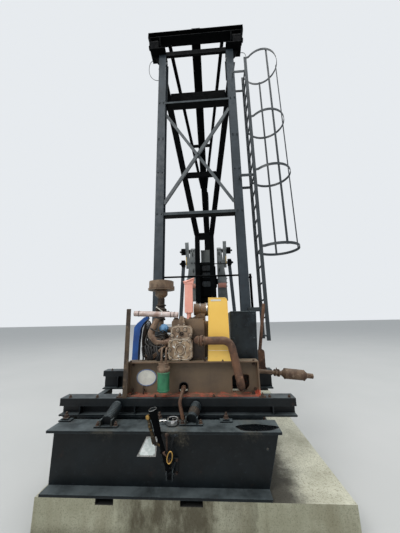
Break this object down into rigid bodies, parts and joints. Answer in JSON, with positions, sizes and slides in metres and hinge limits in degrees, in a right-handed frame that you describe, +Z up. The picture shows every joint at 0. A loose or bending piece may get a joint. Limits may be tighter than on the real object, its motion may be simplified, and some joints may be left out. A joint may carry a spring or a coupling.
{
  "type": "pump jack",
  "caption": "Rear-post oil well pumping unit on a concrete plinth, with a skid-mounted engine, a portal tower, a caged ladder and a head-down walking beam.",
  "frame": {"origin": "ground level under the plinth, on the machine's centreline, below the middle of the rear tower legs", "axes": "+X to the right and +Y towards the well as seen from the engine end, +Z up"},
  "size_m": [3.141, 9.457, 8.7685],
  "materials": {
    "concrete": "rough cast concrete",
    "black_paint": "weathered satin paint",
    "grey_paint": "weathered satin paint",
    "brown_paint": "aged, dusty paint",
    "rusty_steel": "rusted",
    "yellow_paint": "faded satin paint",
    "blue_paint": "faded satin paint",
    "green_paint": "satin paint",
    "faded_red_paint": "faded paint",
    "bright_steel": "polished"
  },
  "bodies": {
    "base": {"air_cleaner": "rusty_steel", "beam_bearings": "black_paint", "belt_guard": "black_paint", "brace_pipes": "black_paint", "cage_bars": "black_paint", "cage_hoops": "black_paint", "clutch_guard": "yellow_paint", "control_rod": "rusty_steel", "coolant_tank": "faded_red_paint", "drain_pipe": "rusty_steel", "engine_accessories": "rusty_steel", "engine_block": "brown_paint", "engine_end_covers": "brown_paint", "engine_pipes": "rusty_steel", "engine_skid_floor": "brown_paint", "engine_skid_rails": "brown_paint", "engine_skid_rear_beam": "brown_paint", "exhaust_pipe": "rusty_steel", "falling_brace": "black_paint", "fan_guard": "rusty_steel", "fan_shroud": "blue_paint", "foundation_slab": "concrete", "front_engine_cross_beam": "black_paint", "front_leg_ties": "black_paint", "gauge": "bright_steel", "grease_lines": "black_paint", "guard_rails": "black_paint", "ladder": "black_paint", "ladder_brackets": "black_paint", "left_front_leg": "black_paint", "left_rear_leg": "black_paint", "left_skid_beam": "black_paint", "left_upright_post": "rusty_steel", "lever_bracket": "black_paint", "lower_legs": "black_paint", "muffler": "rusty_steel", "oil_filter": "green_paint", "platform_beam": "black_paint", "rear_cross_beam": "black_paint", "rear_engine_cross_beam": "black_paint", "reducer_housing": "black_paint", "reducer_pedestal": "black_paint", "reducer_top_box": "grey_paint", "right_front_leg": "black_paint", "right_rear_leg": "black_paint", "right_skid_beam": "black_paint", "rising_brace": "black_paint", "sill_beams": "black_paint", "tower_cross_bars": "black_paint"},
    "beam": {"tail_cross_beam": "black_paint", "walking_beam": "black_paint", "beam_struts": "black_paint", "horse_head": "black_paint"},
    "pitmans": {"left_pitman": "black_paint", "right_pitman": "black_paint"},
    "cranks": {"crank_shaft": "bright_steel", "left_crank": "grey_paint", "right_crank": "grey_paint"},
    "brake_lever": {"brake_lever": "black_paint"}
  },
  "joints": [
    {"name": "beam_tilt", "type": "hinge", "parent": "base", "child": "beam", "pos_m": [0, -0.11, 7.95], "axis": [1, 0, 0], "range_deg": [0, 24.7]},
    {"name": "crank_turn", "type": "hinge", "parent": "base", "child": "cranks", "pos_m": [0.03, 2.95, 2.75], "axis": [1, 0, 0], "range_deg": [-50, 0]},
    {"name": "pitman_hang", "type": "hinge", "parent": "cranks", "child": "pitmans", "pos_m": [0.03, 2.69581, 3.29018], "axis": [1, 0, 0], "range_deg": [0, 50]},
    {"name": "brake_pull", "type": "hinge", "parent": "base", "child": "brake_lever", "pos_m": [-0.15, -2.128, 0.42], "axis": [1, 0, 0], "range_deg": [0, 25]}
  ],
  "couplings": [
    {"joint": "pitman_hang", "follows": "crank_turn", "ratio": -1}
  ]
}
